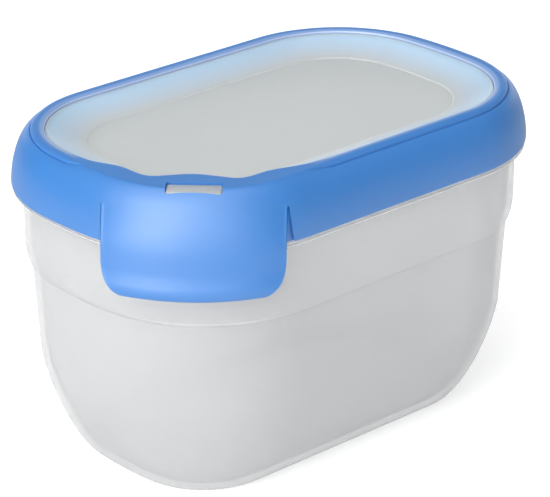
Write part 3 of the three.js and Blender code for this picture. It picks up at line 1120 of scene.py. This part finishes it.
class CONTAINER_OT_flap(Operator):
    """Build the closing flap below its hinge line"""
    bl_idname = "container.make_flap"
    bl_label = "Closing flap"

    def execute(self, context):
        lid = context.scene.container_lid
        flap = make_flap()
        flap.data.materials.append(lid_blue(lid.colour))
        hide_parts("corner_clip")
        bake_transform(flap)
        return {"FINISHED"}


# Stage
def soft_light(name, place, height, size, power):
    data = bpy.data.lights.new(name, "AREA")
    data.shape = "RECTANGLE"
    data.size, data.size_y = size
    data.energy = power
    light = bpy.data.objects.new(name, data)
    light.location = place
    light.rotation_mode = "QUATERNION"
    aim = Vector((0, 0, height)) - Vector(place)
    light.rotation_quaternion = aim.to_track_quat("-Z", "Y")
    bpy.context.scene.collection.objects.link(light)


def seen_white(tree, socket, seen, given):
    """Sets how bright the stage looks apart from how much light it gives to the container."""
    path = tree.nodes.new("ShaderNodeLightPath")
    strength = tree.nodes.new("ShaderNodeMath")
    strength.operation = "MULTIPLY_ADD"
    strength.inputs[1].default_value = seen - given
    strength.inputs[2].default_value = given
    tree.links.new(path.outputs["Is Camera Ray"], strength.inputs[0])
    tree.links.new(strength.outputs["Value"], socket)


def make_floor(colour, glow):
    bm = bmesh.new()
    bmesh.ops.create_grid(bm, x_segments=8, y_segments=8, size=FLOOR_HALF)
    floor = finish_piece(bm, "floor")
    paint = bpy.data.materials.new("Pale floor")
    paint.use_nodes = True
    shader = paint.node_tree.nodes["Principled BSDF"]
    shader.inputs["Base Color"].default_value = (*colour, 1)
    shader.inputs["Roughness"].default_value = 0.9
    shader.inputs["Specular IOR Level"].default_value = 0.0
    shader.inputs["Emission Color"].default_value = (1, 1, 1, 1)
    seen_white(paint.node_tree, shader.inputs["Emission Strength"], glow, FLOOR_GIVES)
    floor.data.materials.append(paint)


def make_sky(strength):
    world = bpy.data.worlds.new("Soft room")
    world.use_nodes = True
    sky = world.node_tree.nodes["Background"]
    sky.inputs["Color"].default_value = (1, 1, 1, 1)
    seen_white(world.node_tree, sky.inputs["Strength"], SKY_SEEN, strength)
    bpy.context.scene.world = world


def make_camera():
    """The camera at the photograph's viewing angle."""
    level = math.cos(CAMERA_ELEVATION)
    back = Vector((
        math.sin(CAMERA_AZIMUTH) * level, -math.cos(CAMERA_AZIMUTH) * level,
        math.sin(CAMERA_ELEVATION),
    ))
    side = Vector((math.cos(CAMERA_AZIMUTH), math.sin(CAMERA_AZIMUTH), 0))
    look = -back + side * AIM_ASIDE - back.cross(side) * AIM_BELOW
    data = bpy.data.cameras.new("Camera")
    data.sensor_fit = "HORIZONTAL"
    data.sensor_width = SENSOR
    data.lens = FOCAL_PIXELS / IMAGE_PIXELS * SENSOR
    camera = bpy.data.objects.new("Camera", data)
    camera.location = Vector((0, 0, CAMERA_HEIGHT)) + back * CAMERA_DISTANCE
    camera.rotation_mode = "QUATERNION"
    camera.rotation_quaternion = look.to_track_quat("-Z", "Y")
    bpy.context.scene.collection.objects.link(camera)
    bpy.context.scene.camera = camera


class CONTAINER_OT_stage(Operator):
    """Set the pale floor, the soft studio light and the camera"""
    bl_idname = "container.make_stage"
    bl_label = "Stage"

    def execute(self, context):
        settings = context.scene.container_stage
        make_floor(settings.floor_colour, settings.floor_glow)
        make_sky(settings.sky)
        context.scene.view_settings.view_transform = "Standard"
        for name, setting, place, height, size in LIGHTS:
            soft_light(name, place, height, size, getattr(settings, setting))
        make_camera()
        return {"FINISHED"}


class CONTAINER_PT_panel(Panel):
    """Lists the container's pieces and settings"""
    bl_idname = "CONTAINER_PT_panel"
    bl_label = "Food container"
    bl_space_type = "VIEW_3D"
    bl_region_type = "UI"
    bl_category = "Container"

    def draw(self, context):
        scene = context.scene
        for title, settings, operators in (
            ("Box", scene.container_box, ("make_box",)),
            ("Lid", scene.container_lid, ("make_panel", "make_ring", "make_flap")),
            ("Stage", scene.container_stage, ("make_stage",)),
        ):
            column = self.layout.box().column()
            column.label(text=title)
            for name in settings.__annotations__:
                column.prop(settings, name)
            for name in operators:
                column.operator(f"container.{name}")


CLASSES = (
    ContainerBoxSettings,
    ContainerLidSettings,
    ContainerStageSettings,
    CONTAINER_OT_box,
    CONTAINER_OT_panel,
    CONTAINER_OT_ring,
    CONTAINER_OT_flap,
    CONTAINER_OT_stage,
    CONTAINER_PT_panel,
)


def register():
    for cls in CLASSES:
        bpy.utils.register_class(cls)
    bpy.types.Scene.container_box = PointerProperty(type=ContainerBoxSettings)
    bpy.types.Scene.container_lid = PointerProperty(type=ContainerLidSettings)
    bpy.types.Scene.container_stage = PointerProperty(type=ContainerStageSettings)


def unregister():
    for name in ("container_box", "container_lid", "container_stage"):
        delattr(bpy.types.Scene, name)
    for cls in reversed(CLASSES):
        bpy.utils.unregister_class(cls)


def main():
    register()
    bpy.ops.container.make_stage()
    bpy.ops.container.make_box()
    bpy.ops.container.make_panel()
    bpy.ops.container.make_ring()
    bpy.ops.container.make_flap()


if __name__ == "__main__":
    main()
